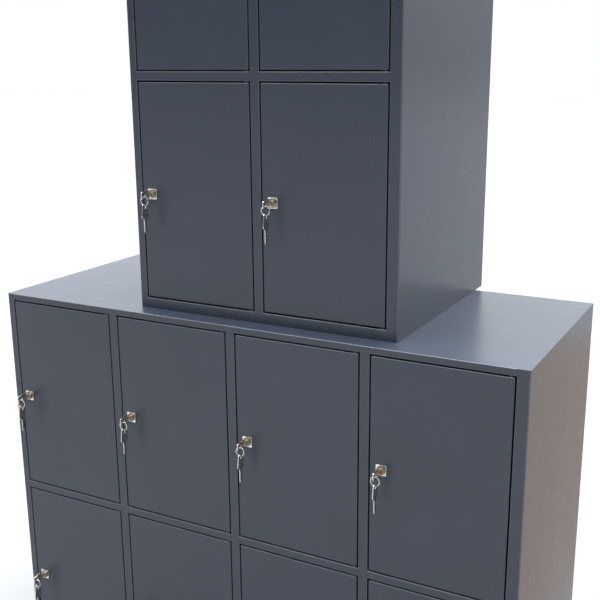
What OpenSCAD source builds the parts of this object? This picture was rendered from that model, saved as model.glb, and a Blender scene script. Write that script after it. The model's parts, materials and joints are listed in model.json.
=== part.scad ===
// Steel parcel locker: a wide base bank of compartments with a narrower bank
// standing on top of it, set back. Every compartment has a flush door on corner
// pins, a turning cam lock with its key in it, and a ring with the spare key.
// Axes: X across the fronts, Y from front to back, Z up, floor at Z = 0.

/* [Base bank] */
// Width over both sides
base_w = 1200; // [600:5:1800]
// Columns of compartments
base_cols = 4; // [1:1:6]
// Height of a door opening
base_open_h = 445; // [250:1:900]
// Height of the rail between the rows
base_mid_rail = 17; // [17:1:40]
// Floor clearance given by the levelling feet
foot_h = 18; // [16:1:60]

/* [Upper bank] */
// Width over both sides
upper_w = 592; // [300:5:1800]
// Columns of compartments
upper_cols = 2; // [1:1:6]
// Height of a door opening
upper_open_h = 450; // [250:1:900]
// Height of the rail between the rows
upper_mid_rail = 18; // [17:1:40]
// Left side of the upper bank, from the left side of the base bank
upper_shift = 346; // [0:1:900]
// Distance of the upper front behind the base front
upper_setback = 45; // [0:1:200]

/* [Both banks] */
// Depth of each bank
depth = 500; // [300:5:800]
// Rows of compartments in each bank
rows = 2; // [1:1:4]
// Thickness of all sheet steel
sheet = 1; // [0.7:0.1:2]
// Width of the stiles between two columns
stile = 20; // [16:1:40]
// Width of the outer stile at the left
stile_left = 17; // [16:1:40]
// Width of the outer stile at the right
stile_right = 24; // [16:1:40]
// Depth of the folded returns behind stiles and rails
fold = 18; // [12:1:30]
// Height of the rail above the top row
top_rail = 14; // [12:1:40]
// Height of the rail below the bottom row
bottom_rail = 22; // [16:1:60]
// Slot left at the welded seams between panels
seam = 0.1; // [0.05:0.05:0.5]

/* [Doors] */
// Gap all round a closed door
gap = 3; // [1:0.1:6]
// Depth of the folded door edges
door_edge = 15; // [10:1:25]
// Depth of the folded edge beside the hinge pins
hinge_edge = 12; // [8:1:12]
// Hinge pins: distance from the door's right edge
pin_in = 7; // [5:0.5:12]
// Hinge pins: distance behind the door's face
pin_back = 6; // [4:0.5:10]
// Hinge pins: diameter
pin_d = 5; // [3:0.5:8]
// Running clearance of the pins in the rails, on the radius
pin_fit = 0.05; // [0.02:0.01:0.1]

/* [Locks and keys] */
// Lock centre, from the left side of the opening
lock_in = 27.5; // [20:0.5:60]
// Lock centre, below the middle of the opening
lock_drop = 2; // [-50:1:50]
// Side of the square lock plate
plate = 22; // [18:0.5:30]
// Thickness of the lock plate
plate_t = 3; // [1:0.5:5]
// Diameter of the round lock head
head_d = 18; // [14:0.5:22]
// Height of the round head in front of the plate
head_t = 5; // [2:0.5:10]
// Diameter of the turning plug
plug_d = 11; // [8:0.5:14]
// Length of the cam from the lock centre
cam_reach = 35.5; // [28:0.5:36]
// Thickness of a key
key_t = 2; // [1.5:0.1:3]
// Wire diameter of a key ring
wire_d = 2; // [1:0.1:3]
// Inside diameter of a key ring
ring_in = 16; // [14:0.5:40]

/* [Hidden] */
$fn = 48;
eps = 0.01;

// The two banks: 0 is the base bank and 1 is the upper bank.
base_h = bottom_rail + rows * base_open_h + (rows - 1) * base_mid_rail + top_rail;
upper_h = bottom_rail + rows * upper_open_h + (rows - 1) * upper_mid_rail + top_rail;
bank_w = [base_w, upper_w];
bank_h = [base_h, upper_h];
bank_cols = [base_cols, upper_cols];
open_h = [base_open_h, upper_open_h];
mid_rail = [base_mid_rail, upper_mid_rail];

// A key, along its own length from the end of its bow.
hole_u = 10;
hole_r = 3.5;
bow_l = 26;
neck_l = 6;
// The spare key: its hole, its bow and its whole length.
spare_hole_u = 5.5;
spare_bow_l = 31;
spare_l = 61;
bow_half = 11;
bow_end_half = 8;
blade_half = 3.5;

// The keys in the locks: the lock head's face, and the hole in front of the door.
head_y = -plate_t - head_t;
hole_y = head_y - neck_l - bow_l + hole_u;
// The strand of the bow below its hole, and the ring that hangs on it.
strand_low = bow_end_half + (hole_u + wire_d / 2 - 2) * (bow_half - bow_end_half) / 18;
strand_z = -(hole_r + strand_low) / 2;
ring_r = (ring_in + wire_d) / 2;
ring_z = -hole_r + 0.5 - ring_in / 2;
spare_z = ring_z - ring_r + wire_d / 2 + 0.1 - hole_r;

// The object's middle is at X = 0 and Y = 0.
key_reach = max(-hole_y + bow_half, -(hole_y - hole_u));
front = (key_reach - upper_setback - depth) / 2;
bank_x = [-base_w / 2, -base_w / 2 + upper_shift];
bank_y = [front, front + upper_setback];
bank_z = [foot_h, foot_h + base_h];

// Compartments: the base bank's first, row by row from the top left.
base_n = base_cols * rows;
total_n = base_n + upper_cols * rows;
foot_in = 45;
foot_front = 50;
bolt_in = 60;
bolt_front = 70;
bolt_back = 430;
wall_hole_in = 60;
wall_hole_up = 100;
wall_hole_down = 60;
wall_hole_d = 9;

function bank(k) = k < base_n ? 0 : 1;
function place(k) = k < base_n ? k : k - base_n;
function inner_w(b) = bank_w[b] - stile_left - stile_right;
function open_w(b) = (inner_w(b) - (bank_cols[b] - 1) * stile) / bank_cols[b];
function col_x(b, c) = stile_left + c * (open_w(b) + stile);
function row_z(b, r) = bottom_rail + (rows - 1 - r) * (open_h[b] + mid_rail[b]);
function col(k) = place(k) % bank_cols[bank(k)];
function row(k) = floor(place(k) / bank_cols[bank(k)]);
function label(k) = str(k < 9 ? "0" : "", k + 1);

steel_blue = [0.28, 0.30, 0.34];
nickel = [0.78, 0.77, 0.74];
zinc = [0.66, 0.67, 0.68];
black = [0.06, 0.06, 0.06];

// ---------------------------------------------------------------- helpers

// Moves its children into the frame of bank b, whose origin is the lower left
// corner of its front.
module in_bank(b) {
    translate([bank_x[b], bank_y[b], bank_z[b]]) children();
}

// Moves its children to the lower left corner of opening k.
module in_opening(k) {
    b = bank(k);
    in_bank(b) translate([col_x(b, col(k)), 0, row_z(b, row(k))]) children();
}

// A profile in the plane of Y and Z, carried from x0 to x1.
module run_x(x0, x1) {
    translate([x0, 0, 0]) rotate([90, 0, 90]) linear_extrude(x1 - x0) children();
}

// A round bar or hole along Y, from y0 to y1.
module bar_y(r, y0, y1, sides = $fn) {
    translate([0, y1, 0]) rotate([90, 0, 0]) cylinder(r = r, h = y1 - y0, $fn = sides);
}

// A round bar or hole along Z, from z0 to z1.
module bar_z(r, z0, z1, sides = $fn) {
    translate([0, 0, z0]) cylinder(r = r, h = z1 - z0, $fn = sides);
}

// The places of a bank's hinge pins along X.
module at_hinges(b) {
    for (c = [0 : bank_cols[b] - 1])
        translate([col_x(b, c) + open_w(b) - gap - pin_in, pin_back, 0]) children();
}

// The places of the stacking bolts, in the frame of the upper bank.
module at_bolts() {
    for (x = [bolt_in, upper_w - bolt_in], y = [bolt_front, bolt_back])
        translate([x, y, 0]) children();
}

// The places of the levelling feet, in the frame of the base bank.
module at_feet() {
    for (x = [foot_in, base_w / 2, base_w - foot_in], y = [foot_front, depth - foot_front])
        translate([x, y, 0]) children();
}

// ---------------------------------------------------------- cabinet panels

// Plan of a side panel whose front edge is folded round into the outer stile.
module side_plan(width) {
    square([sheet, depth - sheet - seam]);
    square([width, sheet]);
    translate([width - sheet, 0]) square([sheet, fold]);
}

module shell(b) {
    h = bank_h[b] - sheet - seam;
    linear_extrude(h) side_plan(stile_left);
    translate([bank_w[b], 0, 0]) mirror([1, 0, 0])
        linear_extrude(h) side_plan(stile_right);
    difference() {
        translate([0, depth - sheet, 0]) cube([bank_w[b], sheet, h]);
        if (b == 1)
            for (
                x = [wall_hole_in, bank_w[b] - wall_hole_in],
                z = [wall_hole_up, bank_h[b] - wall_hole_down]
            )
                translate([x, 0, z]) bar_y(wall_hole_d / 2, depth - 2 * sheet, depth + sheet);
    }
}

// Top panel with the top rail folded down between the outer stiles.
module top_panel(b) {
    h = bank_h[b];
    difference() {
        union() {
            translate([0, 0, h - sheet]) cube([bank_w[b], depth, sheet]);
            run_x(stile_left + seam, bank_w[b] - stile_right - seam) {
                translate([0, h - top_rail]) square([sheet, top_rail - eps]);
                translate([0, h - top_rail]) square([fold, sheet]);
            }
        }
        at_hinges(b) bar_z(pin_d / 2 + pin_fit, h - top_rail - 1, h - top_rail + sheet + 1);
        if (b == 0)
            translate([upper_shift, upper_setback, 0]) at_bolts() bar_z(4.2, h - 2, h + 1);
    }
}

// Floor pan: the bottom rail, a flat floor level with it, folded edges below,
// and plates for the feet of the base bank.
module floor_pan(b) {
    side = sheet + seam;
    back = depth - sheet - seam;
    difference() {
        union() {
            difference() {
                union() {
                    translate([side, fold + 1, 0])
                        cube([bank_w[b] - 2 * side, back - fold - 1, bottom_rail]);
                    translate([stile_left + seam, 0, 0])
                        cube([inner_w(b) - 2 * seam, fold + 2, bottom_rail]);
                }
                translate([side + sheet, fold + 1 + sheet, -1])
                    cube([bank_w[b] - 2 * (side + sheet), back - fold - 1 - 2 * sheet,
                          bottom_rail + 1 - sheet]);
                translate([stile_left + seam + sheet, sheet, -1])
                    cube([inner_w(b) - 2 * (seam + sheet), fold + 2, bottom_rail + 1 - sheet]);
            }
            translate([stile_left + seam, 0, 0])
                cube([inner_w(b) - 2 * seam, fold, sheet]);
            if (b == 0)
                foot_plates();
        }
        at_hinges(b) bar_z(pin_d / 2 + pin_fit, bottom_rail - sheet - 1, bottom_rail + 1);
        if (b == 0)
            at_feet() bar_z(4.2, -1, 4);
        else
            at_bolts() bar_z(4.2, bottom_rail - sheet - 1, bottom_rail + 1);
    }
}

// Plates in the base floor pan that the feet screw into.
module foot_plates() {
    side = sheet + seam;
    back = depth - sheet - seam;
    reach = 80;
    for (x = [side, base_w / 2 - reach / 2, base_w - side - reach]) {
        translate([x, x > reach && x < base_w - 2 * reach ? fold - 2 : fold + 1, 0])
            cube([reach, reach, 3]);
        translate([x, back - reach, 0]) cube([reach, reach, 3]);
    }
}

// Upright channels with a partition sheet standing behind each one.
module partitions(b) {
    low = bottom_rail + seam;
    high = bank_h[b] - top_rail - seam;
    for (c = [1 : bank_cols[b] - 1])
        translate([col_x(b, c) - stile, 0, 0]) {
            translate([0, 0, low]) linear_extrude(high - low) {
                square([stile, sheet]);
                square([sheet, fold]);
                translate([stile - sheet, 0]) square([sheet, fold]);
                translate([(stile - sheet) / 2, 0]) square([sheet, fold + 2]);
            }
            translate([(stile - sheet) / 2, fold + 1, low])
                cube([sheet, depth - sheet - seam - fold - 1,
                      bank_h[b] - sheet - seam - low]);
        }
}

// Mid rail, shelf and folded shelf back of every column between two rows.
module shelves(b) {
    m = mid_rail[b];
    back = depth - sheet - seam;
    for (r = [0 : rows - 2], c = [0 : bank_cols[b] - 1])
        translate([col_x(b, c), 0, row_z(b, r) - m])
            difference() {
                union() {
                    run_x(seam, open_w(b) - seam) {
                        square([sheet, m]);
                        square([fold, sheet]);
                        translate([0, m - sheet]) square([fold + 2, sheet]);
                    }
                    run_x(
                        seam - (c == 0 ? stile_left - sheet : (stile - sheet) / 2),
                        open_w(b) - seam
                            + (c == bank_cols[b] - 1 ? stile_right - sheet : (stile - sheet) / 2)
                    ) {
                        translate([fold + 1, m - sheet]) square([back - fold - 1, sheet]);
                        translate([back - sheet, 2]) square([sheet, m - 2]);
                    }
                }
                translate([open_w(b) - gap - pin_in, pin_back, 0])
                    bar_z(pin_d / 2 + pin_fit, -1, m + 1);
            }
}

// ------------------------------------------------------- feet and fasteners

module foot() {
    cylinder(r = 18, h = 6);
    translate([0, 0, 6]) cylinder(r1 = 18, r2 = 9, h = 4);
    bar_z(7.5, foot_h - 5.5, foot_h, 6);
    bar_z(4, 5, foot_h + bottom_rail - 5);
}

// A bolt head with washer on the upper floor, a spacer in the hollow under it,
// and a washer with nut under the base top.
module stacking_bolt() {
    bar_z(8.5, bottom_rail, bottom_rail + 1.5);
    bar_z(7.5, bottom_rail + 1.5, bottom_rail + 6.8, 6);
    bar_z(4, -sheet - 12, bottom_rail + 2);
    bar_z(8, 0.1, bottom_rail - sheet - 0.1);
    bar_z(8.5, -sheet - 1.6, -sheet);
    bar_z(7.5, -sheet - 8.1, -sheet - 1.6, 6);
}

// -------------------------------------------------------------------- doors

// Folded door tray with hinge pins, pin washers and a stiffening channel.
module door(k) {
    b = bank(k);
    w = open_w(b) - 2 * gap;
    h = open_h[b] - 2 * gap;
    in_opening(k) translate([gap, 0, gap]) {
        difference() {
            cube([w, door_edge, h]);
            translate([sheet, sheet, sheet])
                cube([w - 2 * sheet, door_edge, h - 2 * sheet]);
            translate([w - pin_in - 1, hinge_edge, -1]) cube([pin_in + 2, door_edge, h + 2]);
            translate([lock_in - gap, 0, h / 2 - lock_drop])
                bar_y(head_d / 2 + 0.6, -1, sheet + 1);
        }
        difference() {
            translate([w / 2 - 25, sheet / 2, 20]) cube([50, 12, h - 40]);
            translate([w / 2 - 25 + sheet, 0, 19]) cube([50 - 2 * sheet, 12.5 - sheet, h - 38]);
        }
        translate([w - pin_in, pin_back, 0]) {
            bar_z(pin_d / 2, -gap - 6, 10);
            bar_z(pin_d / 2, h - 10, h + gap + 6);
            bar_z(4.5, -gap + 0.3, eps);
            bar_z(4.5, h - eps, h + gap - 0.3);
        }
    }
}

// -------------------------------------------------------------------- locks

// Moves its children to the lock centre of opening k, on the door's face.
module at_lock(k) {
    in_opening(k) translate([lock_in, 0, open_h[bank(k)] / 2 - lock_drop]) children();
}

// Square plate, round head, threaded barrel and the nut behind the door.
module lock_case(k) {
    at_lock(k) difference() {
        union() {
            translate([-plate / 2, -plate_t, -plate / 2]) cube([plate, plate_t, plate]);
            bar_y(head_d / 2, head_y, 0);
            bar_y(head_d / 2 + 0.5, -eps, 17);
            bar_y(13.5, sheet, sheet + 5, 6);
        }
        bar_y(plug_d / 2 + pin_fit, head_y - 1, 18);
    }
}

// The turning plug with its collar, cam and screw, and the key that is in it.
module lock_plug(k) {
    cam_y = fold + 2;
    at_lock(k) {
        bar_y(plug_d / 2, head_y, cam_y + eps);
        bar_y(plug_d / 2 + 1.5, 17.3, cam_y);
        translate([-8, cam_y, -cam_reach]) cube([16, 2, cam_reach]);
        bar_y(8, cam_y, cam_y + 2);
        bar_y(4, cam_y + 2 - eps, cam_y + 5, 6);
        translate([0, hole_y - hole_u, 0])
            rotate([90, 0, 90]) translate([0, 0, -key_t / 2])
                key(bow_l + neck_l + 4, bow_l, hole_u);
    }
}

// --------------------------------------------------------------------- keys

// Flat key along X from the end of its bow, cut off at the given length. The bow
// is bow long, and its hole is at hole from its end.
module key(length, bow, hole) {
    linear_extrude(key_t) difference() {
        union() {
            polygon([
                [0, -bow_end_half + 2], [2, -bow_end_half], [bow - 6, -bow_half],
                [bow - 3, -bow_half + 1], [bow, -6], [bow, 6],
                [bow - 3, bow_half - 1], [bow - 6, bow_half], [2, bow_end_half],
                [0, bow_end_half - 2]
            ]);
            translate([bow - 1, -4.5]) square([neck_l + 1, 9]);
            if (length > bow + neck_l + 4)
                blade_outline(bow + neck_l - 1, length);
            else
                translate([bow, -blade_half]) square([length - bow, 2 * blade_half]);
        }
        translate([hole, 0]) circle(r = hole_r);
    }
}

// Blade with a row of cuts along one edge and a pointed tip.
module blade_outline(start, length) {
    cuts = 5;
    step = (length - start - 8) / cuts;
    polygon(concat(
        [[start, -blade_half]],
        [[length - 3, -blade_half], [length, -0.5], [length - 3, blade_half - 0.5]],
        [for (i = [cuts - 1 : -1 : 0], j = [2, 1, 0])
            [start + 4 + (i + j / 3) * step, blade_half - (j == 1 ? 1.2 + (i * 7 % 4) / 3 : 0)]],
        [[start, blade_half]]
    ));
}

// Split ring hanging on the bow of the key in the lock, with the spare key on it.
module key_ring(k) {
    at_lock(k) translate([0, hole_y, 0]) {
        translate([0, 0, ring_z]) rotate([90, 0, 0])
            rotate_extrude($fn = 64) translate([ring_r, 0]) circle(r = wire_d / 2, $fn = 16);
        translate([-key_t / 2, 0, spare_z + spare_hole_u])
            rotate([0, 90, 0]) key(spare_l, spare_bow_l, spare_hole_u);
    }
}

// ------------------------------------------------------------ named sub-parts

module base_shell() { color(steel_blue) in_bank(0) shell(0); }
module base_top() { color(steel_blue) in_bank(0) top_panel(0); }
module base_floor() { color(steel_blue) in_bank(0) floor_pan(0); }
module base_partitions() { color(steel_blue) in_bank(0) partitions(0); }
module base_shelves() { color(steel_blue) in_bank(0) shelves(0); }
module upper_shell() { color(steel_blue) in_bank(1) shell(1); }
module upper_roof() { color(steel_blue) in_bank(1) top_panel(1); }
module upper_floor() { color(steel_blue) in_bank(1) floor_pan(1); }
module upper_partition() { color(steel_blue) in_bank(1) partitions(1); }
module upper_shelves() { color(steel_blue) in_bank(1) shelves(1); }
module levelling_feet() { color(black) translate([bank_x[0], bank_y[0], 0]) at_feet() foot(); }
module stacking_bolts() { color(zinc) in_bank(1) at_bolts() stacking_bolt(); }

base_shell();
base_top();
base_floor();
base_partitions();
base_shelves();
upper_shell();
upper_roof();
upper_floor();
upper_partition();
upper_shelves();
levelling_feet();
stacking_bolts();
for (k = [0 : total_n - 1]) {
    color(steel_blue) door(k);
    color(nickel) lock_case(k);
    color(nickel) lock_plug(k);
    color(nickel) key_ring(k);
}
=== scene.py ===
"""Visual model of the steel parcel locker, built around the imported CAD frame.

Sheet-metal panels are rebuilt with rolled bends, doors with folded edges, and locks, keys and
rings with their small parts. Every place comes from the CAD boxes, and every size is in metres.
"""

import json
import math

import bmesh
import bpy
from mathutils import Matrix, Vector


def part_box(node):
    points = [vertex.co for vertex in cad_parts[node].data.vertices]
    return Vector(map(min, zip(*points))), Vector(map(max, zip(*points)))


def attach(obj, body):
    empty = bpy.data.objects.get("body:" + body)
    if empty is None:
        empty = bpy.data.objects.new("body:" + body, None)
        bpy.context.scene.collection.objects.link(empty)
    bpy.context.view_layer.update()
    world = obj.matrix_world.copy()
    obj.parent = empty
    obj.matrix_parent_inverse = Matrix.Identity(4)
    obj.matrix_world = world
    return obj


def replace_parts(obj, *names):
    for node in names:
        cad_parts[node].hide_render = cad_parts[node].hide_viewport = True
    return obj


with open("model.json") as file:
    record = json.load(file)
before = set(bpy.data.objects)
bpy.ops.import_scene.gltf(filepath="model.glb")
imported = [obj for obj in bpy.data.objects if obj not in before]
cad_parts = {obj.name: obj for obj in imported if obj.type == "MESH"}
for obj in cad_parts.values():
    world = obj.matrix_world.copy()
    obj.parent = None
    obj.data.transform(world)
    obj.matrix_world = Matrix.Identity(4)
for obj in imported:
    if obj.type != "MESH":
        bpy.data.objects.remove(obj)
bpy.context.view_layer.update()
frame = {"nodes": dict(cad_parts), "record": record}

# ------------------------------------------------------------------ sizes

SHEET = 0.001  # thickness of all sheet steel
BEND = 0.0018  # outer radius of a bend
SIDE_BEND = 0.0030  # that of the cabinet's outer upright corners
BEND_STEPS = 5  # flats that a bend is made of
WELD_T = 0.8 * SHEET  # thickness of the weld filler at the frame's corners
STILE = 0.020  # width of the stiles between two columns
STILE_LEFT = 0.017  # width of the outer stile at the left
STILE_RIGHT = 0.024  # width of the outer stile at the right
FOLD = 0.018  # depth of the returns behind stiles and rails
SHEET_START = FOLD + 0.001  # where the sheets behind stiles and rails widen
TOP_RAIL = 0.014
BOTTOM_RAIL = 0.022
SEAM = 0.0001  # slot at a welded seam
DOOR_EDGE = 0.015  # depth of the folded door edges
HINGE_EDGE = 0.012  # the same beside the hinge pins
PIN_IN = 0.007  # hinge pin axis from the door's right edge
PIN_BACK = 0.006  # hinge pin axis behind the door's face
PIN_R = 0.0025
PIN_OUT = 0.009  # how far a pin stands past the door's edge
PIN_INSIDE = 0.010  # how far a pin reaches into the door
WASHER_R = 0.0045
WASHER_T = 0.0027
WASHER_CHAMFER = 0.0003
LOCK_IN = 0.0245  # lock centre from the door's left edge
LOCK_DROP = 0.002  # lock centre below the door's middle
PLATE = 0.022  # side of the square lock plate
PLATE_T = 0.003
HEAD_R = 0.009
HEAD_T = 0.005
PLUG_R = 0.0055
CAM_Y = 0.020
CAM_REACH = 0.0355
CAM_W = 0.016
CAM_T = 0.002
CAM_TOP = 0.0079
LOCK_NUT_R = 0.0135
COLLAR_Y = 0.0173  # front of the plug's collar behind the door
KEYWAY_W = 0.0028
KEYWAY_L = 0.0092
KEY_T = 0.002
HOLE_Y = -0.030  # hole in the bow of a key that is in a lock, from the door's face
HOLE_U = 0.010
HOLE_R = 0.0035
BOW_L = 0.026
NECK_L = 0.006
STUB_L = 0.004  # length of blade modelled on a key that is in a lock
NECK_HALF = 0.0045
BLADE_HALF = 0.0035
BLADE_CUTS = 5
SPARE_HOLE_U = 0.0055
SPARE_BOW_L = 0.031
SPARE_L = 0.061
RING_Z = -0.011  # ring centre below the lock centre
RING_R = 0.009
RING_WIRE_W = 0.0018
RING_WIRE_T = 0.00094
SPARE_Z = -0.0224  # hole of the spare key below the lock centre
STIFFENER_W = 0.050
STIFFENER_D = 0.0125
STIFFENER_END = 0.020  # from the door's ends
FOOT_IN = 0.045  # feet from the base bank's sides
FOOT_FRONT = 0.050  # feet from its front and back
FOOT_PLATE = 0.080
FOOT_PLATE_T = 0.003
BOLT_R = 0.004  # thread of the feet and of the stacking bolts
BOLT_PITCH = 0.00125
BOLT_HOLE_R = 0.0042
BOLT_WASHER_R = 0.0085
BOLT_WASHER_T = 0.0015
NUT_R = 0.0075
NUT_BORE = 0.0038
SPACER_R = 0.008
BOLT_IN = 0.060  # stacking bolts from the upper bank's sides
BOLT_FRONT = 0.070  # stacking bolts behind the upper bank's front
BOLT_BACK = 0.430
WALL_HOLE_IN = 0.060
WALL_HOLE_UP = 0.100
WALL_HOLE_DOWN = 0.060
WALL_HOLE_R = 0.0045

COMPARTMENTS = 12

# --------------------------------------------------------------- materials


def material(name, colour, roughness, metallic=0.0):
    """A new material, with its node tree and its principled shader."""
    m = bpy.data.materials.new(name)
    m.use_nodes = True
    tree = m.node_tree
    shader = tree.nodes["Principled BSDF"]
    shader.inputs["Base Color"].default_value = (*colour, 1)
    shader.inputs["Roughness"].default_value = roughness
    shader.inputs["Metallic"].default_value = metallic
    return m, tree, shader


def add(tree, kind, **values):
    """Adds a node. Values named after sockets set those, and others set properties."""
    n = tree.nodes.new(kind)
    for key, value in values.items():
        socket = n.inputs.get(key.replace("_", " "))
        if socket is None:
            setattr(n, key, value)
        else:
            socket.default_value = value
    return n


def noise(tree, scale, detail, rough):
    """Noise in the object's own coordinates, so that it rides with the piece."""
    place = add(tree, "ShaderNodeTexCoord")
    n = add(tree, "ShaderNodeTexNoise", Scale=scale, Detail=detail, Roughness=rough)
    tree.links.new(place.outputs["Object"], n.inputs["Vector"])
    return n.outputs["Fac"]


def ramp(tree, source, stops):
    """A colour ramp on a value: stops are (position, (r, g, b)) or (position, grey)."""
    n = add(tree, "ShaderNodeValToRGB")
    tree.links.new(source, n.inputs["Fac"])
    while len(n.color_ramp.elements) < len(stops):
        n.color_ramp.elements.new(0.5)
    for element, (position, colour) in zip(n.color_ramp.elements, stops):
        element.position = position
        if isinstance(colour, (int, float)):
            colour = (colour, colour, colour)
        element.color = (*colour, 1)
    return n.outputs["Color"]


def mix(tree, factor, a, b):
    """Mixes the colour of socket a with colour b, by the value of socket factor."""
    n = add(tree, "ShaderNodeMix", data_type="RGBA")
    tree.links.new(factor, n.inputs[0])
    tree.links.new(a, n.inputs[6])
    n.inputs[7].default_value = (*b, 1)
    return n.outputs[2]


def scaled(tree, source, factor, offset=0.0):
    """A socket's value times a factor, plus an offset."""
    n = add(tree, "ShaderNodeMath", operation="MULTIPLY_ADD")
    tree.links.new(source, n.inputs[0])
    n.inputs[1].default_value = factor
    n.inputs[2].default_value = offset
    return n.outputs[0]


def bump(tree, shader, height, strength, distance):
    """Small relief from a height socket."""
    n = add(tree, "ShaderNodeBump", Strength=strength, Distance=distance)
    tree.links.new(height, n.inputs["Height"])
    tree.links.new(n.outputs["Normal"], shader.inputs["Normal"])


def powder_coat(name, colour, roughness):
    """Satin powder coat: fine orange peel, faint clouding, worn paint at the bends."""
    m, tree, shader = material(name, colour, roughness)
    cloud = noise(tree, 5.0, 4.0, 0.6)
    light = tuple(min(1, c * 1.05) for c in colour)
    dark = tuple(c * 0.95 for c in colour)
    body = ramp(tree, cloud, [(0.3, dark), (0.7, light)])
    edge = add(tree, "ShaderNodeAttribute", attribute_name="bend")
    worn = scaled(tree, edge.outputs["Fac"], 0.16)
    rubbed = mix(tree, worn, body, (0.30, 0.31, 0.34))
    tree.links.new(rubbed, shader.inputs["Base Color"])
    peel = noise(tree, 900.0, 2.0, 0.5)
    patches = noise(tree, 14.0, 5.0, 0.65)
    gloss = ramp(tree, patches, [(0.3, roughness - 0.015), (0.7, roughness + 0.02)])
    tree.links.new(gloss, shader.inputs["Roughness"])
    bump(tree, shader, peel, 0.05, 0.0002)
    return m


def plated(name, colour, roughness):
    """Plated metal with uneven polish, tarnish and small pits."""
    m, tree, shader = material(name, colour, roughness, 1.0)
    stain = noise(tree, 160.0, 5.0, 0.65)
    tarnish = tuple(c * 0.72 + d * 0.2 for c, d in zip(colour, (0.35, 0.33, 0.30)))
    body = ramp(tree, stain, [(0.35, colour), (0.72, tarnish)])
    tree.links.new(body, shader.inputs["Base Color"])
    polish = noise(tree, 420.0, 4.0, 0.6)
    gloss = ramp(tree, polish, [(0.3, roughness * 0.7), (0.75, roughness * 1.5)])
    tree.links.new(gloss, shader.inputs["Roughness"])
    bump(tree, shader, noise(tree, 2600.0, 2.0, 0.5), 0.15, 0.00008)
    return m


def moulded(name, colour, roughness):
    """Dark moulded matter, or a near-black stand-in for painted shade in a hollow: mottled and fine
    grained.
    """
    m, tree, shader = material(name, colour, roughness)
    dark = tuple(c * 0.8 for c in colour)
    light = tuple(c * 1.5 for c in colour)
    body = ramp(tree, noise(tree, 60.0, 4.0, 0.6), [(0.3, dark), (0.8, light)])
    tree.links.new(body, shader.inputs["Base Color"])
    bump(tree, shader, noise(tree, 1400.0, 2.0, 0.5), 0.25, 0.0002)
    return m


ANTHRACITE = (0.028, 0.035, 0.049)
CABINET = powder_coat("cabinet_steel", ANTHRACITE, 0.28)
DOOR = powder_coat("door_steel", ANTHRACITE, 0.30)
NICKEL = plated("nickel", (0.78, 0.76, 0.71), 0.18)
KEY = plated("key_steel", (0.72, 0.69, 0.63), 0.24)
ZINC = plated("zinc", (0.62, 0.63, 0.65), 0.35)
HEAD = plated("worn_nickel", (0.34, 0.28, 0.21), 0.28)
FEET = moulded("feet", (0.03, 0.03, 0.032), 0.55)
# Painted shade: a near-black colour for the block that stands for the shadowed hollow of each
# keyway.
KEYWAY_SHADE = moulded("keyway_painted_shade", (0.01, 0.01, 0.01), 0.8)

MATERIAL_OF = {
    "cabinet_steel": CABINET,
    "door_steel": DOOR,
    "nickel": NICKEL,
    "key_steel": KEY,
    "zinc": ZINC,
    "feet": FEET,
}
for entry in frame["record"]["subparts"]:
    obj = frame["nodes"][entry["node"]]
    obj.data.materials.clear()
    obj.data.materials.append(MATERIAL_OF[entry["material_slot"]])

# ------------------------------------------------------------ mesh helpers

SHARP_ANGLE = math.radians(32.0)
HOLE_SIDES = 28


def finish_mesh(name, bm, paint, body):
    """Turns a bmesh into a shaded piece that rides on a body."""
    bmesh.ops.recalc_face_normals(bm, faces=bm.faces)
    mesh = bpy.data.meshes.new(name)
    bm.to_mesh(mesh)
    bm.free()
    mesh.materials.append(paint)
    for face in mesh.polygons:
        face.use_smooth = True
    mesh.set_sharp_from_angle(angle=SHARP_ANGLE)
    piece = bpy.data.objects.new(name, mesh)
    bpy.context.scene.collection.objects.link(piece)
    weigh = piece.modifiers.new("flat_faces_stay_flat", "WEIGHTED_NORMAL")
    weigh.keep_sharp = True
    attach(piece, body)
    return piece


def bend_path(corners):
    """Rounds the inner corners of a sheet's skin line, whose sheet lies on its left.

    A bend's outer radius is BEND, unless its corner gives another. The result is a list of
    (point, left normal, bend), where bend is 1 in the middle of a bend and 0 on the flats.
    """
    radii = [c[2] if len(c) > 2 else BEND for c in corners]
    corners = [Vector(c[:2]) for c in corners]
    path = []

    def left(d):
        return Vector((-d.y, d.x))

    start = (corners[1] - corners[0]).normalized()
    path.append((corners[0], left(start), 0.0))
    for a, b, c, outer in zip(corners, corners[1:], corners[2:], radii[1:]):
        into, out = (b - a).normalized(), (c - b).normalized()
        turn = math.atan2(into.x * out.y - into.y * out.x, into.dot(out))
        r = outer if turn > 0 else outer - SHEET
        reach = r * math.tan(abs(turn) / 2)
        centre = b - into * reach + left(into) * math.copysign(r, turn)
        side, cos, sin = left(into), math.cos, math.sin
        for i in range(BEND_STEPS + 1):
            angle = turn * i / BEND_STEPS
            x = side.x * cos(angle) - side.y * sin(angle)
            y = side.x * sin(angle) + side.y * cos(angle)
            n = Vector((x, y))
            bend = sin(math.pi * i / BEND_STEPS)
            path.append((centre - n * math.copysign(r, turn), n, bend))
    end = (corners[-1] - corners[-2]).normalized()
    path.append((corners[-1], left(end), 0.0))
    return path


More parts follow.
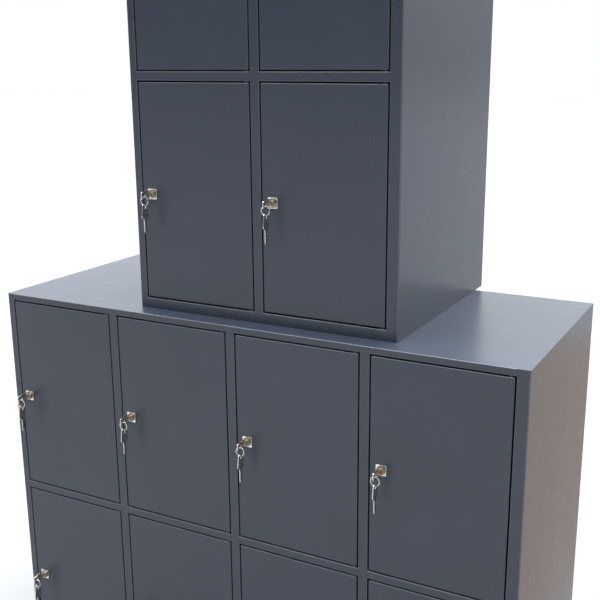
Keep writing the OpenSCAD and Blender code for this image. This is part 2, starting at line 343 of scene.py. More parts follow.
def add_folded(bm, corners, place, run):
    """Adds a folded sheet: its skin line in a plane, carried along the third direction.

    place turns (u, v, w) into a point, and run gives the two ends of w.
    """
    layer = bm.verts.layers.float.get("bend") or bm.verts.layers.float.new("bend")
    path = bend_path(corners)
    rings = []
    for w in run:
        skin, back = [], []
        for point, n, bend in path:
            for row, p in ((skin, point), (back, point + n * SHEET)):
                v = bm.verts.new(place(p.x, p.y, w))
                v[layer] = bend if row is skin else 0.0
                row.append(v)
        rings.append((skin, back))
    (skin0, back0), (skin1, back1) = rings
    for i in range(len(path) - 1):
        bm.faces.new((skin0[i], skin0[i + 1], skin1[i + 1], skin1[i]))
        bm.faces.new((back0[i], back1[i], back1[i + 1], back0[i + 1]))
        bm.faces.new((skin0[i], back0[i], back0[i + 1], skin0[i + 1]))
        bm.faces.new((skin1[i], skin1[i + 1], back1[i + 1], back1[i]))
    for i in (0, -1):
        bm.faces.new((skin0[i], skin1[i], back1[i], back0[i]))


def add_box(bm, lo, hi, soften=0.0, steps=2):
    """Adds a block between two corners, its edges softened by a small bevel."""
    made = bmesh.ops.create_cube(bm, size=1.0)
    centre, size = (Vector(lo) + Vector(hi)) / 2, Vector(hi) - Vector(lo)
    for v in made["verts"]:
        v.co = Vector((v.co.x * size.x, v.co.y * size.y, v.co.z * size.z)) + centre
    if soften:
        edges = {e for v in made["verts"] for e in v.link_edges}
        bmesh.ops.bevel(
            bm, geom=list(edges), offset=soften, segments=steps, profile=0.5, affect="EDGES"
        )


def add_turned(bm, profile, place, sides=48):
    """Adds a turned shape from (radius, height) points. A point on the axis closes an end."""
    rings = []
    for radius, height in profile:
        if radius < 1e-7:
            rings.append([bm.verts.new(place(0, 0, height))])
            continue
        ring = []
        for i in range(sides):
            a = 2 * math.pi * i / sides
            ring.append(bm.verts.new(place(radius * math.cos(a), radius * math.sin(a), height)))
        rings.append(ring)
    for low, high in zip(rings, rings[1:]):
        for i in range(sides):
            j = (i + 1) % sides
            corners = [low[i % len(low)], low[j % len(low)]]
            corners += [high[j % len(high)], high[i % len(high)]]
            unique = list(dict.fromkeys(corners))
            if len(unique) > 2:
                bm.faces.new(unique)


def about_y(x, y, z):
    """Placing for add_turned about an axis along Y: heights run backwards from y."""
    return lambda a, b, h: (x + a, y + h, z + b)


def about_z(x, y):
    """Placing for add_turned about an upright axis: heights are those of the frame."""
    return lambda a, b, h: (x + a, y + b, h)


def add_plate(bm, outline, holes, place, thickness, soften=0.0):
    """Adds a flat plate from an outline and round holes (x, y, r), in the plane of place."""
    flat = bmesh.new()
    rings = [[Vector(p) for p in outline]]
    around = [2 * math.pi * i / HOLE_SIDES for i in range(HOLE_SIDES)]
    for x, y, r in holes:
        rings.append([Vector((x + r * math.cos(a), y + r * math.sin(a))) for a in around])
    edges = []
    for ring in rings:
        verts = [flat.verts.new((p.x, p.y, 0)) for p in ring]
        edges += [flat.edges.new((a, b)) for a, b in zip(verts, verts[1:] + verts[:1])]
    bmesh.ops.triangle_fill(
        flat, use_beauty=True, use_dissolve=True, edges=edges, normal=(0, 0, 1)
    )
    made = bmesh.ops.extrude_face_region(flat, geom=flat.faces[:])
    for v in made["geom"]:
        if isinstance(v, bmesh.types.BMVert):
            v.co.z = thickness
    bmesh.ops.recalc_face_normals(flat, faces=flat.faces)
    if soften:
        rims = [
            e for e in flat.edges
            if e.calc_face_angle(0) > 1.2 and abs(e.verts[0].co.z - e.verts[1].co.z) < 1e-7
        ]
        bmesh.ops.bevel(flat, geom=rims, offset=soften, segments=2, profile=0.5, affect="EDGES")
    for v in flat.verts:
        v.co.z -= thickness / 2
        v.co = Vector(place(*v.co))
    temporary = bpy.data.meshes.new("plate")
    flat.to_mesh(temporary)
    flat.free()
    bm.from_mesh(temporary)
    bpy.data.meshes.remove(temporary)


def rounded_outline(points, radius, steps=4):
    """A closed outline with its corners rounded, each by radius or by its own (x, y, r)."""
    result = []
    count = len(points)
    for i, point in enumerate(points):
        r = point[2] if len(point) > 2 else radius
        a, b, c = (Vector(points[(i + k) % count][:2]) for k in (-1, 0, 1))
        into, out = (b - a).normalized(), (c - b).normalized()
        turn = math.atan2(into.x * out.y - into.y * out.x, into.dot(out))
        reach = r * math.tan(abs(turn) / 2)
        if r <= 0 or reach < 1e-7:
            result.append(tuple(b))
            continue
        side = Vector((-into.y, into.x)) * math.copysign(1, turn)
        centre = b - into * reach + side * r
        arm = -side * r
        for k in range(steps + 1):
            angle = turn * k / steps
            result.append(
                (
                    centre.x + arm.x * math.cos(angle) - arm.y * math.sin(angle),
                    centre.y + arm.x * math.sin(angle) + arm.y * math.cos(angle),
                )
            )
    return result


# ---------------------------------------------------------- cabinet pieces


class Bank:
    """One bank of compartments: its outer box and the places of its openings."""

    def __init__(self, prefix, columns, roof, shelves, partitions):
        self.prefix = prefix
        self.columns = columns
        self.roof = roof
        self.shelves = shelves
        self.partitions = partitions
        self.x0, self.y0, self.z0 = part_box(prefix + "_shell")[0]
        self.x1, self.y1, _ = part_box(prefix + "_shell")[1]
        self.z1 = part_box(roof)[1][2]
        self.mid_z0, self.mid_z1 = (corner[2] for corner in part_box(shelves))
        inner = self.x1 - self.x0 - STILE_LEFT - STILE_RIGHT - (self.columns - 1) * STILE
        self.open_w = inner / self.columns
        self.inner_back = self.y1 - self.y0 - SHEET - SEAM

    def left(self, c):
        """Left side of a column's opening."""
        return self.x0 + STILE_LEFT + c * (self.open_w + STILE)

    def reach(self, c):
        """The stretch of X between the sheets at both sides of a column."""
        half = (STILE - SHEET) / 2
        low = self.left(c) + SEAM - (STILE_LEFT - SHEET if c == 0 else half)
        high = self.left(c) + self.open_w - SEAM
        high += STILE_RIGHT - SHEET if c == self.columns - 1 else half
        return low, high


def weld(bm, y0, x, z0, z1, way):
    """Fills the rounded edge of a stile beside a rail's end, ground flush with both."""
    lo, hi = sorted((x - way * 2 * SEAM, x + way * (BEND + SEAM)))
    add_box(bm, (lo, y0, z0), (hi, y0 + WELD_T, z1))


def side_panel(bank, right):
    """A side sheet whose front edge is folded round into the outer stile."""
    bm = bmesh.new()
    x0, sign, wide = (bank.x1, -1, STILE_RIGHT) if right else (bank.x0, 1, STILE_LEFT)
    add_folded(
        bm,
        [(0, bank.inner_back), (0, 0, SIDE_BEND), (wide, 0), (wide, FOLD)],
        lambda u, v, w: (x0 + sign * u, bank.y0 + v, w),
        (bank.z0, bank.z1 - SHEET - SEAM),
    )
    name = f"{bank.prefix}_side_{'right' if right else 'left'}"
    return finish_mesh(name, bm, CABINET, "banks")


def back_panel(bank, holes):
    """Flat back sheet with its round holes (x, z, r)."""
    bm = bmesh.new()
    high = bank.z1 - SHEET - SEAM
    add_plate(
        bm,
        [(bank.x0, bank.z0), (bank.x1, bank.z0), (bank.x1, high), (bank.x0, high)],
        holes,
        lambda u, v, w: (u, bank.y1 - SHEET / 2 + w, v),
        SHEET,
    )
    return finish_mesh(bank.prefix + "_back", bm, CABINET, "banks")


def top_piece(bank, name):
    """Top sheet with the top rail folded down between the outer stiles."""
    bm = bmesh.new()
    inner = (bank.x0 + STILE_LEFT + SEAM, bank.x1 - STILE_RIGHT - SEAM)
    add_folded(
        bm,
        [(bank.y1 - bank.y0, 0), (0, 0), (0, -TOP_RAIL), (FOLD, -TOP_RAIL)],
        lambda u, v, w: (w, bank.y0 + u, bank.z1 + v),
        inner,
    )
    for x0, x1 in ((bank.x0, inner[0]), (inner[1], bank.x1)):
        add_box(bm, (x0, bank.y0, bank.z1 - SHEET), (x1, bank.y1, bank.z1))
    low, high = bank.z1 - TOP_RAIL + BEND, bank.z1 - BEND
    weld(bm, bank.y0, inner[0] - SEAM, low, high, -1)
    weld(bm, bank.y0, inner[1] + SEAM, low, high, 1)
    return finish_mesh(name, bm, CABINET, "banks")


def partition(bank, c):
    """The channel left of column c, and the partition sheet welded into it."""
    bm = bmesh.new()
    x0 = bank.left(c) - STILE
    low, high = bank.z0 + BOTTOM_RAIL + SEAM, bank.z1 - TOP_RAIL - SEAM
    add_folded(
        bm,
        [(0, FOLD), (0, 0), (STILE, 0), (STILE, FOLD)],
        lambda u, v, w: (x0 + u, bank.y0 + v, w),
        (low, high),
    )
    for z, way in ((low, -1), (high, 1)):
        lo, hi = sorted((z - way * 2 * SEAM, z + way * (BEND + SEAM)))
        add_box(bm, (x0 + BEND, bank.y0, lo), (x0 + STILE - BEND, bank.y0 + WELD_T, hi))
    web_top = bank.z1 - SHEET - SEAM
    add_plate(
        bm,
        [
            (SHEET, low),
            (bank.inner_back, low),
            (bank.inner_back, web_top),
            (SHEET_START, web_top),
            (SHEET_START, high),
            (SHEET, high),
        ],
        [],
        lambda u, v, w: (x0 + STILE / 2 + w, bank.y0 + u, v),
        SHEET,
    )
    return finish_mesh(f"{bank.prefix}_stile_{c}", bm, CABINET, "banks")


def shelf(bank, c):
    """Mid rail and shelf of a column."""
    bm = bmesh.new()
    high = bank.mid_z1 - bank.mid_z0

    def place(u, v, w):
        return (w, bank.y0 + u, bank.mid_z0 + v)

    narrow = (bank.left(c) + SEAM, bank.left(c) + bank.open_w - SEAM)
    add_folded(bm, [(SHEET_START, high), (0, high), (0, 0), (FOLD, 0)], place, narrow)
    for x, way in ((bank.left(c), -1), (bank.left(c) + bank.open_w, 1)):
        weld(bm, bank.y0, x, bank.mid_z0 + BEND, bank.mid_z1 - BEND, way)
    back = bank.inner_back
    add_folded(bm, [(back, 0.002), (back, high), (SHEET_START, high)], place, bank.reach(c))
    return finish_mesh(f"{bank.prefix}_shelf_{c}", bm, CABINET, "banks")


def floor_pan(bank, name):
    """Bottom rail and floor with folded edges, and plates for the feet."""
    bm = bmesh.new()
    low, high = bank.x0 + SHEET + SEAM, bank.x1 - SHEET - SEAM

    def place(u, v, w):
        return (w, bank.y0 + u, bank.z0 + v)

    narrow = (bank.x0 + STILE_LEFT + SEAM, bank.x1 - STILE_RIGHT - SEAM)
    rail = [(SHEET_START, BOTTOM_RAIL), (0, BOTTOM_RAIL), (0, 0), (FOLD, 0)]
    add_folded(bm, rail, place, narrow)
    for x, way in ((narrow[0] - SEAM, -1), (narrow[1] + SEAM, 1)):
        weld(bm, bank.y0, x, bank.z0 + BEND, bank.z0 + BOTTOM_RAIL - BEND, way)
    back = bank.inner_back
    sheet = [(back, 0), (back, BOTTOM_RAIL), (SHEET_START, BOTTOM_RAIL)]
    add_folded(bm, sheet, place, (low, high))
    for x in (low, high - SHEET):
        add_box(
            bm,
            place(SHEET_START, 0, x),
            place(back - BEND, BOTTOM_RAIL - SHEET, x + SHEET),
        )
    if bank.prefix == "base":
        wide = FOOT_PLATE
        middle = (bank.x0 + bank.x1) / 2 - wide / 2
        for x in (low, middle, high - wide):
            front = FOLD - 0.002 if x == middle else SHEET_START
            add_box(bm, place(front, 0, x), place(front + wide, FOOT_PLATE_T, x + wide))
            add_box(bm, place(back - wide, 0, x), place(back - SHEET, FOOT_PLATE_T, x + wide))
    return finish_mesh(name, bm, CABINET, "banks")


def hex_profile(r, y0, y1, bore):
    """Half section of a nut or bolt head, chamfered at both ends."""
    c = r * 0.05
    return [(bore, y0), (r - c, y0), (r, y0 + c), (r, y1 - c), (r - c, y1), (bore, y1), (bore, y0)]


def ring_profile(bore, r, y0, y1):
    """Half section of a plain washer or spacer."""
    return [(bore, y0), (r, y0), (r, y1), (bore, y1), (bore, y0)]


def threaded(r, y0, y1, pitch):
    """Half section of a screw thread as a row of ridges."""
    steps = int((y1 - y0) / pitch)
    points = []
    for i in range(steps):
        points += [(r * 0.90, y0 + i * pitch), (r, y0 + (i + 0.5) * pitch)]
    return [*points, (r * 0.90, y0 + steps * pitch), (r * 0.90, y1)]


def foot(number, x, y):
    """Levelling foot: moulded pad, stud and lock nut under the floor pan."""
    bm = bmesh.new()
    pad = [
        (0, 0), (0.0160, 0), (0.0178, 0.0008), (0.018, 0.0025), (0.018, 0.005), (0.0172, 0.0062),
        (0.0100, 0.0088), (0.0090, 0.0100), (0.0075, 0.0104), (0, 0.0104),
    ]
    add_turned(bm, pad, about_z(x, y))
    finish_mesh(f"foot_pad_{number}", bm, FEET, "banks")
    bm = bmesh.new()
    top = BANKS[0].z0
    stud = [(0, 0.008), *threaded(BOLT_R, 0.009, top + BOTTOM_RAIL - 0.005, BOLT_PITCH)]
    add_turned(bm, [*stud, (0, stud[-1][1])], about_z(x, y), sides=24)
    add_turned(bm, hex_profile(NUT_R, top - 0.0055, top, NUT_BORE), about_z(x, y), sides=6)
    return finish_mesh(f"foot_stud_{number}", bm, ZINC, "banks")


def stacking_bolt(number, x, y):
    """Bolt through the upper floor and the base top, with washers, spacer and nut."""
    bm = bmesh.new()
    floor_z, top_z = BANKS[1].z0 + BOTTOM_RAIL, BANKS[1].z0 - SHEET
    under = top_z - BOLT_WASHER_T
    place = about_z(x, y)
    for z in (floor_z, under):
        add_turned(bm, ring_profile(BOLT_HOLE_R, BOLT_WASHER_R, z, z + BOLT_WASHER_T), place)
    head = [(0, 0.0068), (0.0068, 0.0068), (NUT_R, 0.0061), (NUT_R, BOLT_WASHER_T)]
    head.append((0, BOLT_WASHER_T))
    add_turned(bm, [(r, floor_z + z) for r, z in head], place, sides=6)
    thread = threaded(BOLT_R, top_z - 0.012, floor_z, BOLT_PITCH)
    add_turned(bm, [(0, thread[0][1]), *thread, (0, thread[-1][1])], place, sides=24)
    add_turned(bm, hex_profile(NUT_R, under - 0.0066, under - 0.0001, NUT_BORE), place, sides=6)
    gap = 0.0011
    add_turned(bm, ring_profile(BOLT_HOLE_R, SPACER_R, top_z + gap, floor_z - gap), place)
    return finish_mesh(f"stacking_bolt_{number}", bm, ZINC, "banks")


# ------------------------------------------------------------------- doors


def door(tag):
    """Folded door tray with rolled front edges, stiffening channel, pins and washers."""
    body = "door_" + tag
    (x0, y0, z0), (x1, _, z1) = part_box("door_" + tag)
    z0, z1 = z0 + PIN_OUT, z1 - PIN_OUT
    bm = bmesh.new()
    add_box(bm, (x0, y0, z0), (x1, y0 + DOOR_EDGE, z1))
    bmesh.ops.delete(
        bm, geom=[f for f in bm.faces if f.calc_center_median().y > y0 + 0.99 * DOOR_EDGE],
        context="FACES_ONLY",
    )
    rolled = [e for e in bm.edges if len(e.link_faces) == 2]
    bmesh.ops.bevel(bm, geom=rolled, offset=BEND, segments=5, profile=0.5, affect="EDGES")
    # The edge beside the hinge pins is folded less deep, so that it clears the stile.
    notch = x1 - PIN_IN - 0.001
    for co, no in (((notch, 0, 0), (1, 0, 0)), ((0, y0 + HINGE_EDGE, 0), (0, 1, 0))):
        bmesh.ops.bisect_plane(
            bm, geom=bm.verts[:] + bm.edges[:] + bm.faces[:], plane_co=co, plane_no=no
        )
    cut = [
        f for f in bm.faces
        if f.calc_center_median().x > notch and f.calc_center_median().y > y0 + HINGE_EDGE
    ]
    bmesh.ops.delete(bm, geom=cut, context="FACES")
    layer = bm.verts.layers.float.new("bend")
    for v in bm.verts:
        share = (v.co.y - y0) / BEND
        v[layer] = math.sin(math.pi * share) if 0 < share < 1 else 0.0
    tray = finish_mesh(f"door_{tag}_panel", bm, DOOR, body)
    thicken = tray.modifiers.new("sheet", "SOLIDIFY")
    thicken.thickness = SHEET
    thicken.offset = -1
    thicken.use_even_offset = True
    tray.modifiers.move(tray.modifiers.find("sheet"), 0)

    bm = bmesh.new()
    middle = (x0 + x1) / 2
    half, deep = STIFFENER_W / 2, STIFFENER_D
    add_folded(
        bm,
        [(half, SHEET), (half, deep), (-half, deep), (-half, SHEET)],
        lambda u, v, w: (middle + u, y0 + v, w),
        (z0 + STIFFENER_END, z1 - STIFFENER_END),
    )
    finish_mesh(f"door_{tag}_stiffener", bm, DOOR, body)

    bm = bmesh.new()
    pin = about_z(x1 - PIN_IN, y0 + PIN_BACK)
    ends = ((z0, -1), (z1, 1))
    outline = [
        (0, -PIN_INSIDE), (PIN_R, -PIN_INSIDE), (PIN_R, PIN_OUT - 0.0006), (PIN_R - 0.0006, PIN_OUT),
        (0, PIN_OUT),
    ]
    for end, way in ends:
        add_turned(bm, [(r, end + way * h) for r, h in outline], pin, sides=32)
    finish_mesh(f"door_{tag}_pins", bm, ZINC, body)
    bm = bmesh.new()
    thick, chamfer = WASHER_T, WASHER_CHAMFER
    outline = [
        (PIN_R, 0.0), (WASHER_R - chamfer, 0.0), (WASHER_R, chamfer), (WASHER_R, thick - chamfer),
        (WASHER_R - chamfer, thick), (PIN_R, thick),
    ]
    for end, way in ends:
        add_turned(bm, [(r, end + way * h) for r, h in outline], pin, sides=32)
    finish_mesh(f"door_{tag}_washers", bm, DOOR, body)
    return tray


# ------------------------------------------------------------ locks and keys


def lock_case(tag, centre):
    """Square plate, round head with a rim, threaded barrel and the nut behind the door."""
    x, y, z = centre
    body = "door_" + tag
    bm = bmesh.new()
    half = PLATE / 2
    outline = rounded_outline([(-half, -half), (half, -half), (half, half), (-half, half)], 0.0016)
    add_plate(
        bm, outline, [(0, 0, PLUG_R + 0.0001)],
        lambda u, v, w: (x + u, y - PLATE_T / 2 - w, z + v), PLATE_T, soften=0.0005,
    )
    finish_mesh(f"lock_{tag}_plate", bm, NICKEL, body)
    bm = bmesh.new()
    bore, front = PLUG_R + 0.00005, -PLATE_T - HEAD_T
    head = [
        (bore, front + 0.0004), (bore + 0.0004, front), (HEAD_R - 0.0012, front),
        (HEAD_R - 0.0004, front + 0.0004), (HEAD_R, front + 0.0014), (HEAD_R, -PLATE_T + 0.0002),
        (bore, -PLATE_T + 0.0002), (bore, front + 0.0004),
    ]
    add_turned(bm, head, about_y(x, y, z), sides=56)
    finish_mesh(f"lock_{tag}_head", bm, HEAD, body)
    bm = bmesh.new()
    thread = threaded(HEAD_R + 0.0005, 0.0, 0.0166, 0.001)
    add_turned(bm, [(bore, 0.0), *thread, (bore, 0.017), (bore, 0.0)], about_y(x, y, z))
    nut = hex_profile(LOCK_NUT_R, SHEET, 0.006, HEAD_R)
    add_turned(bm, nut, about_y(x, y, z), sides=6)
    return finish_mesh(f"lock_{tag}_barrel", bm, ZINC, body)


def lock_plug(tag, centre):
    """Turning plug with collar, cam and cam screw; its keyway is not cut but shown by a dark block
    of painted shade.
    """
    x, y, z = centre
    body = "lock_" + tag
    bm = bmesh.new()
    front = -PLATE_T - HEAD_T
    plug = [
        (0, front), (PLUG_R - 0.0004, front), (PLUG_R, front + 0.0004), (PLUG_R, COLLAR_Y),
        (PLUG_R + 0.0015, COLLAR_Y), (PLUG_R + 0.0015, CAM_Y), (0, CAM_Y),
    ]
    add_turned(bm, plug, about_y(x, y, z))
    finish_mesh(f"lock_{tag}_plug", bm, HEAD, body)
    # Painted shade: a near-black block on the plug's face stands in for the shade inside the keyway.
    bm = bmesh.new()
    wide, high = KEYWAY_W / 2, KEYWAY_L / 2
    lo = (x - wide, y + front - 0.00005, z - high)
    hi = (x + wide, y + front + 0.0005, z + high)
    add_box(bm, lo, hi, soften=0.00004, steps=1)
    finish_mesh(f"lock_{tag}_keyway", bm, KEYWAY_SHADE, body)
    bm = bmesh.new()
    wide, tip, top = CAM_W / 2, 0.004, CAM_TOP - 0.0001
    corners = [(-wide, -CAM_REACH, tip), (wide, -CAM_REACH, tip)]
    corners += [(wide, CAM_TOP, top), (-wide, CAM_TOP, top)]
    middle = y + CAM_Y + CAM_T / 2
    add_plate(
        bm, rounded_outline(corners, tip, 6), [],
        lambda u, v, w: (x + u, middle + w, z + v), CAM_T, soften=0.0002,
    )
    screw = hex_profile(0.004, CAM_Y + CAM_T, CAM_Y + CAM_T + 0.003, 0.0001)
    add_turned(bm, screw, about_y(x, y, z), sides=6)
    return finish_mesh(f"lock_{tag}_cam", bm, ZINC, body)


def blade(length, start):
    """Outline of a key blade from start to its tip, with a row of cuts along one edge."""
    half, shoulder = BLADE_HALF, length - 0.003
    step = (length - start - 0.008) / BLADE_CUTS
    outline = [(start, -half), (shoulder, -half), (length, -0.0005), (shoulder, half - 0.0005)]
    for i in reversed(range(BLADE_CUTS)):
        deep = 0.0012 + (i * 7 % 4) / 3000
        for j in (2, 1, 0):
            outline.append((start + 0.004 + (i + j / 3) * step, half - (deep if j == 1 else 0)))
    return [*outline, (start, half)]


def key_outline(length, bow_l):
    """Outline of a flat key from the end of its bow: (along, across).

    A key that ends just past its neck has no cuts, because the rest is inside the lock.
    """
    bow = [
        (0, -0.006, 0.003), (0.002, -0.008, 0.003), (bow_l - 0.006, -0.011, 0.004),
        (bow_l - 0.0025, -0.0095, 0.002), (bow_l, -NECK_HALF, 0.001),
    ]
    neck = bow_l + NECK_L
    if length > neck + STUB_L:
        start = neck - 0.001
        shaft = [(start, -NECK_HALF, 0.0004)]
        shaft += [(u, v, 0.0002) for u, v in blade(length, start)]
        shaft += [(start, NECK_HALF, 0.0004)]
    else:
        half = [(neck, NECK_HALF, 0.0003), (neck, BLADE_HALF, 0.0003), (length, BLADE_HALF, 0.0003)]
        shaft = [(u, -v, r) for u, v, r in half] + half[::-1]
    mirrored = [(u, -v, r) for u, v, r in reversed(bow)]
    return rounded_outline([*bow, *shaft, *mirrored], 0.001, 4)


def key(name, length, bow_l, hole_u, place, body):
    """Flat stamped key with softened rims and a round hole in its bow."""
    bm = bmesh.new()
    add_plate(bm, key_outline(length, bow_l), [(hole_u, 0, HOLE_R)], place, KEY_T, soften=0.0003)
    return finish_mesh(name, bm, KEY, body)


def split_ring(name, centre, body):
    """A flat wire wound twice round, stepping over itself half way."""
    x, y, z = centre
    bm = bmesh.new()
    turns, steps = 2, 128
    half_w, half_t = RING_WIRE_W / 2, RING_WIRE_T / 2
    corners = [(-half_w, -half_t), (half_w, -half_t), (half_w, half_t), (-half_w, half_t)]
    section = rounded_outline(corners, 0.0003, 2)
    rings = []
    for i in range(steps + 1):
        angle = 0.35 + (2 * math.pi * turns - 0.5) * i / steps
        cross = min(max((angle - 2 * math.pi + 0.1) / 0.7, 0), 1)
        shift = -0.00049 + 0.00098 * cross * cross * (3 - 2 * cross)
        ring = []
        for radial, axial in section:
            r = RING_R + radial
            across, up = r * math.cos(angle), r * math.sin(angle)
            ring.append(bm.verts.new((x + across, y + axial + shift, z + up)))
        rings.append(ring)
    count = len(section)
    for a, b in zip(rings, rings[1:]):
        for i in range(count):
            j = (i + 1) % count
            bm.faces.new((a[i], a[j], b[j], b[i]))
    bm.faces.new(rings[0])
    bm.faces.new(rings[-1])
    return finish_mesh(name, bm, KEY, body)


BANKS = (
    Bank("base", 4, "base_top", "base_shelves", "base_partitions"),
    Bank("upper", 2, "upper_roof", "upper_shelves", "upper_partition"),
)


def build_banks():
    """Both banks, their feet and the bolts that hold them together."""
    base, upper = BANKS
    wall_holes = [
        (x, z, WALL_HOLE_R)
        for x in (upper.x0 + WALL_HOLE_IN, upper.x1 - WALL_HOLE_IN)
        for z in (upper.z0 + WALL_HOLE_UP, upper.z1 - WALL_HOLE_DOWN)
    ]
    for bank, holes in ((base, []), (upper, wall_holes)):
        prefix = bank.prefix
        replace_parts(side_panel(bank, False), prefix + "_shell")
        side_panel(bank, True)
        back_panel(bank, holes)
        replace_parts(top_piece(bank, bank.roof + "_panel"), bank.roof)
        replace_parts(floor_pan(bank, prefix + "_floor_pan"), prefix + "_floor")
        stiles = [partition(bank, c) for c in range(1, bank.columns)]
        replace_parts(stiles[0], bank.partitions)
        racks = [shelf(bank, c) for c in range(bank.columns)]
        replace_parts(racks[0], bank.shelves)
    across = (base.x0 + FOOT_IN, (base.x0 + base.x1) / 2, base.x1 - FOOT_IN)
    feet = [
        foot(n, x, y)
        for n, (x, y) in enumerate(
            (x, y) for x in across for y in (base.y0 + FOOT_FRONT, base.y1 - FOOT_FRONT)
        )
    ]
    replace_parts(feet[0], "levelling_feet")
    bolts = [
        stacking_bolt(n, x, y)
        for n, (x, y) in enumerate(
            (x, y)
            for x in (upper.x0 + BOLT_IN, upper.x1 - BOLT_IN)
            for y in (upper.y0 + BOLT_FRONT, upper.y0 + BOLT_BACK)
        )
    ]
    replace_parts(bolts[0], "stacking_bolts")


def build_compartment(tag):
    """One door with its lock, its key, its ring and its spare key."""
    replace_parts(door(tag), "door_" + tag)
    (x0, y0, z0), (x1, _, z1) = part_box("door_" + tag)
    x, y, z = x0 + LOCK_IN, y0, (z0 + z1) / 2 - LOCK_DROP
    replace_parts(lock_case(tag, (x, y, z)), "lock_case_" + tag)
    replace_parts(lock_plug(tag, (x, y, z)), "lock_plug_" + tag)
    start = HOLE_Y - HOLE_U
    key(
        f"key_{tag}_in_lock", BOW_L + NECK_L + STUB_L, BOW_L, HOLE_U,
        lambda u, v, w: (x + w, y + start + u, z + v), "lock_" + tag,
    )
    ring = split_ring(f"key_{tag}_ring", (x, y + HOLE_Y, z + RING_Z), "keys_" + tag)
    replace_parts(ring, "key_ring_" + tag)
    key(
        f"key_{tag}_spare", SPARE_L, SPARE_BOW_L, SPARE_HOLE_U,
        lambda u, v, w: (x + w, y + HOLE_Y + v, z + SPARE_Z + SPARE_HOLE_U - u), "keys_" + tag,
    )


build_banks()
for number in range(1, COMPARTMENTS + 1):
    build_compartment(f"{number:02d}")

# ------------------------------------------------------------------- stage

FLOOR_REACH = 30.0
LAMP_PLACE, LAMP_SIZE, LAMP_POWER = (0, -0.4, 4.6), (5, 4), 80
# Brightness from in front of the object (0) to behind it (1), and from the horizon (0) up (1).
SHADES_BY_SIDE = [
    (0.05, (0.176, 0.190, 0.212)), (0.50, (0.50, 0.51, 0.54)), (0.85, (0.94, 0.97, 1.0)),
]
SHADES_BY_HEIGHT = [(0.0, 0.024), (0.10, 0.032), (0.24, 0.072), (0.70, 0.072), (0.92, 1.0)]
WORLD_STRENGTH = 24.0


def level_sheet(name, x, y, z, colour):
    """A flat level sheet of the stage, from a stretch of X and one of Y."""
    mesh = bpy.data.meshes.new(name)
    corners = [(x[0], y[0], z), (x[1], y[0], z), (x[1], y[1], z), (x[0], y[1], z)]
    mesh.from_pydata(corners, [], [(0, 1, 2, 3)])
    mesh.materials.append(material(name + "_paint", colour, 0.9)[0])
    sheet = bpy.data.objects.new(name, mesh)
    bpy.context.scene.collection.objects.link(sheet)
    return sheet


def reflection_card(name, x, y, z, colour):
    """A level card that only reflections show, as a darker ground beside the object."""
    card = level_sheet(name, x, y, z, colour)
    card.visible_camera = False
    card.visible_diffuse = False
    card.visible_transmission = False
    card.visible_shadow = False


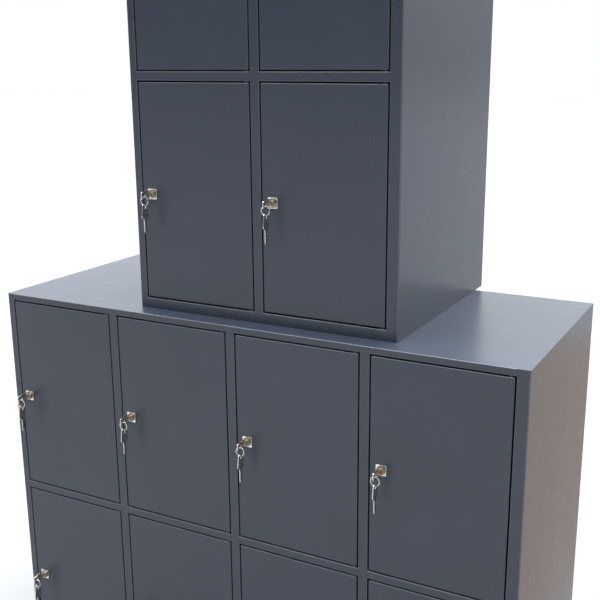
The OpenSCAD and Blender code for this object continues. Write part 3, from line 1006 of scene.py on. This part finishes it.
def studio_world():
    """A soft surround: brightest overhead, and dimmer at the horizon and before the fronts.

    Seen directly it is plain white, so that no edge of it shows behind the object.
    """
    world = bpy.data.worlds.new("studio")
    world.use_nodes = True
    tree = world.node_tree
    way = add(tree, "ShaderNodeTexCoord")
    parts = add(tree, "ShaderNodeSeparateXYZ")
    tree.links.new(way.outputs["Generated"], parts.inputs[0])
    behind = scaled(tree, parts.outputs["Y"], 0.5, 0.5)
    shade = add(tree, "ShaderNodeMix", data_type="RGBA", blend_type="MULTIPLY")
    shade.inputs[0].default_value = 1.0
    tree.links.new(ramp(tree, behind, SHADES_BY_SIDE), shade.inputs[6])
    tree.links.new(ramp(tree, parts.outputs["Z"], SHADES_BY_HEIGHT), shade.inputs[7])
    glow = tree.nodes["Background"]
    tree.links.new(shade.outputs[2], glow.inputs["Color"])
    glow.inputs["Strength"].default_value = WORLD_STRENGTH
    ray = add(tree, "ShaderNodeLightPath")
    white = add(tree, "ShaderNodeBackground", Color=(1, 1, 1, 1), Strength=1.0)
    shown = add(tree, "ShaderNodeMixShader")
    tree.links.new(ray.outputs["Is Camera Ray"], shown.inputs[0])
    tree.links.new(glow.outputs[0], shown.inputs[1])
    tree.links.new(white.outputs[0], shown.inputs[2])
    tree.links.new(shown.outputs[0], tree.nodes["World Output"].inputs["Surface"])
    bpy.context.scene.world = world


def overhead_lamp():
    """The one lamp: a large soft panel above the object, facing down."""
    data = bpy.data.lights.new("overhead", "AREA")
    data.shape = "RECTANGLE"
    data.size, data.size_y = LAMP_SIZE
    data.energy = LAMP_POWER
    lamp = bpy.data.objects.new("overhead", data)
    lamp.location = LAMP_PLACE
    lamp.visible_camera = False
    bpy.context.scene.collection.objects.link(lamp)


everywhere = (-FLOOR_REACH, FLOOR_REACH)
level_sheet("floor", everywhere, everywhere, 0, (0.19, 0.19, 0.19))
studio_world()
overhead_lamp()
reflection_card("warm_ground", (0.7, 2.4), (-3.0, 3.2), 0.004, (0.125, 0.090, 0.062))
reflection_card("grey_ground", (0.7, 29.0), (-3.0, 29.0), 0.002, (0.135, 0.135, 0.141))

# ------------------------------------------------------------------ camera

TURN, TILT, ROLL = math.radians(28.50), math.radians(-14.604), math.radians(0.475)
LENS = 56.45  # focal length for a 36 mm wide sensor
# From the middle of the base bank's top front edge.
CAMERA_RIGHT, CAMERA_AHEAD, CAMERA_UP = 0.9760, 1.5085, 0.5194
base_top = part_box("base_top")
camera_data = bpy.data.cameras.new("camera")
camera_data.sensor_width = 36.0
camera_data.lens = LENS
camera_data.clip_end = 100
camera = bpy.data.objects.new("camera", camera_data)
look = Matrix.Rotation(TURN, 3, "Z")
look = look @ Matrix.Rotation(TILT, 3, "X") @ Matrix.Rotation(ROLL, 3, "Y")
# The camera's own axes: right, up and back.
turned = Matrix((look.col[0], look.col[2], -look.col[1])).transposed()
middle_x = (base_top[0][0] + base_top[1][0]) / 2
place = Matrix.Translation(
    (middle_x + CAMERA_RIGHT, base_top[0][1] - CAMERA_AHEAD, base_top[1][2] + CAMERA_UP)
)
camera.matrix_world = place @ turned.to_4x4()
bpy.context.scene.collection.objects.link(camera)
bpy.context.scene.camera = camera
bpy.context.scene.view_settings.view_transform = "Standard"
